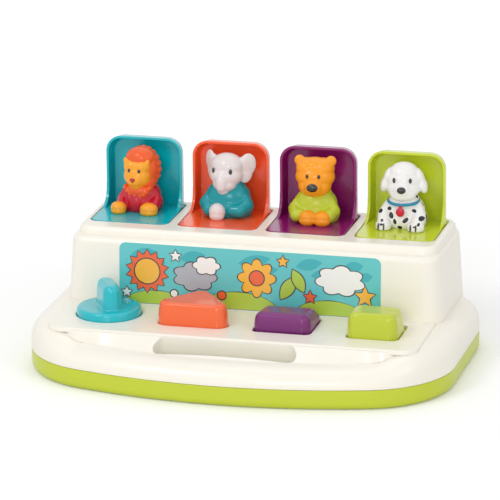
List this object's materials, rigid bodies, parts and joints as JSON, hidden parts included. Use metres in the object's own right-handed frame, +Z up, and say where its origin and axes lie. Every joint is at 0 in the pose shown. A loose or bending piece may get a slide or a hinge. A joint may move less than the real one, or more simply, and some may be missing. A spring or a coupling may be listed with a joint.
{
  "type": "pop up animal toy",
  "caption": "Toddler's pop up toy: four spring lids, each with an animal figure, opened by a knob, a push button, a rocker and a slider.",
  "frame": {"origin": "middle of the base outline, on the surface that the toy stands on", "axes": "+X to the toy's right seen from the front, +Y to its back, +Z up"},
  "size_m": [0.3232, 0.2072, 0.1495],
  "materials": {
    "shell_cream": "gloss",
    "base_lime": "gloss",
    "plastic_teal": "gloss",
    "plastic_orange": "gloss",
    "plastic_purple": "gloss",
    "plastic_lime": "gloss",
    "figure_crimson": "satin",
    "figure_orange": "satin",
    "figure_teal": "satin",
    "figure_grey": "satin",
    "figure_lime": "satin",
    "figure_amber": "satin",
    "figure_white": "satin",
    "label_print": "satin",
    "steel": "satin",
    "inner_plastic": "satin"
  },
  "bodies": {
    "root": {"base_shell": "base_lime", "top_shell": "shell_cream", "front_label": "label_print", "case_screws": "steel", "button_spring": "steel", "rocker_pin": "steel", "hinge_pin_1": "steel", "lid_spring_1": "steel", "catch_pin_1": "steel", "catch_spring_1": "steel", "hinge_pin_2": "steel", "lid_spring_2": "steel", "catch_pin_2": "steel", "catch_spring_2": "steel", "hinge_pin_3": "steel", "lid_spring_3": "steel", "catch_pin_3": "steel", "catch_spring_3": "steel", "hinge_pin_4": "steel", "lid_spring_4": "steel", "catch_pin_4": "steel", "catch_spring_4": "steel"},
    "lid_teal": {"lid_teal": "plastic_teal", "lion_body": "figure_crimson", "lion_head": "figure_orange", "figure_screw_1": "steel"},
    "lid_orange": {"lid_orange": "plastic_orange", "elephant_body": "figure_teal", "elephant_head": "figure_grey", "figure_screw_2": "steel"},
    "lid_purple": {"lid_purple": "plastic_purple", "bear_body": "figure_lime", "bear_head": "figure_amber", "figure_screw_3": "steel"},
    "lid_lime": {"lid_lime": "plastic_lime", "dog_body": "figure_white", "dog_head": "figure_white", "figure_screw_4": "steel"},
    "knob": {"knob": "plastic_teal"},
    "push_button": {"push_button": "plastic_orange"},
    "rocker": {"rocker": "plastic_purple"},
    "slider": {"slider": "plastic_lime"},
    "knob_slide": {"knob_slide": "inner_plastic"},
    "rocker_slide": {"rocker_slide": "inner_plastic"},
    "catch_1": {"catch_lever_1": "inner_plastic"},
    "catch_2": {"catch_lever_2": "inner_plastic"},
    "catch_3": {"catch_lever_3": "inner_plastic"},
    "catch_4": {"catch_lever_4": "inner_plastic"}
  },
  "joints": [
    {"name": "lid_teal_hinge", "type": "hinge", "parent": "root", "child": "lid_teal", "pos_m": [-0.10275, 0.08863, 0.092], "axis": [1, 0, 0], "range_deg": [0, 90], "stiffness_Nm_per_rad": 0.02, "springref_deg": -68.75},
    {"name": "lid_orange_hinge", "type": "hinge", "parent": "root", "child": "lid_orange", "pos_m": [-0.03425, 0.08863, 0.092], "axis": [1, 0, 0], "range_deg": [0, 90], "stiffness_Nm_per_rad": 0.02, "springref_deg": -68.75},
    {"name": "lid_purple_hinge", "type": "hinge", "parent": "root", "child": "lid_purple", "pos_m": [0.03425, 0.08863, 0.092], "axis": [1, 0, 0], "range_deg": [0, 90], "stiffness_Nm_per_rad": 0.02, "springref_deg": -68.75},
    {"name": "lid_lime_hinge", "type": "hinge", "parent": "root", "child": "lid_lime", "pos_m": [0.10275, 0.08863, 0.092], "axis": [1, 0, 0], "range_deg": [0, 90], "stiffness_Nm_per_rad": 0.02, "springref_deg": -68.75},
    {"name": "knob_turn", "type": "hinge", "parent": "root", "child": "knob", "pos_m": [-0.10275, -0.02333, 0.04], "axis": [0, 0, -1], "range_deg": [0, 60], "stiffness_Nm_per_rad": 0.01, "springref_deg": -22.92},
    {"name": "button_press", "type": "slide", "parent": "root", "child": "push_button", "axis": [0, 0, -1], "range_m": [0, 0.006], "stiffness_N_per_m": 150, "springref_m": -0.004, "deforming": ["button_spring"]},
    {"name": "rocker_tilt", "type": "hinge", "parent": "root", "child": "rocker", "pos_m": [0.03425, -0.02333, 0.0355], "axis": [1, 0, 0], "range_deg": [0, 14], "stiffness_Nm_per_rad": 0.05, "springref_deg": -11.46},
    {"name": "slider_push", "type": "slide", "parent": "root", "child": "slider", "axis": [0, 1, 0], "range_m": [0, 0.0075], "stiffness_N_per_m": 80, "springref_m": -0.004},
    {"name": "knob_slide_travel", "type": "slide", "parent": "root", "child": "knob_slide", "axis": [0, 1, 0], "range_m": [-0.0002, 0.0082]},
    {"name": "rocker_slide_travel", "type": "slide", "parent": "root", "child": "rocker_slide", "axis": [0, 1, 0], "range_m": [-0.0002, 0.0058]},
    {"name": "catch_1_pivot", "type": "hinge", "parent": "root", "child": "catch_1", "pos_m": [-0.10275, 0.02262, 0.075], "axis": [1, 0, 0], "range_deg": [-0.3, 10.72]},
    {"name": "catch_2_pivot", "type": "hinge", "parent": "root", "child": "catch_2", "pos_m": [-0.03425, 0.02262, 0.075], "axis": [1, 0, 0], "range_deg": [-0.3, 6.89]},
    {"name": "catch_3_pivot", "type": "hinge", "parent": "root", "child": "catch_3", "pos_m": [0.03425, 0.02262, 0.075], "axis": [1, 0, 0], "range_deg": [-0.3, 7.59]},
    {"name": "catch_4_pivot", "type": "hinge", "parent": "root", "child": "catch_4", "pos_m": [0.10275, 0.02262, 0.075], "axis": [1, 0, 0], "range_deg": [-0.3, 10.07]}
  ],
  "couplings": [
    {"joint": "knob_slide_travel", "follows": "knob_turn", "m_per_rad": 0.0076394},
    {"joint": "catch_1_pivot", "follows": "knob_turn", "ratio": 0.17362},
    {"joint": "catch_2_pivot", "follows": "button_press", "rad_per_m": 19.167},
    {"joint": "rocker_slide_travel", "follows": "rocker_tilt", "m_per_rad": 0.022918},
    {"joint": "catch_3_pivot", "follows": "rocker_tilt", "ratio": 0.52087},
    {"joint": "catch_4_pivot", "follows": "slider_push", "rad_per_m": 22.727}
  ]
}
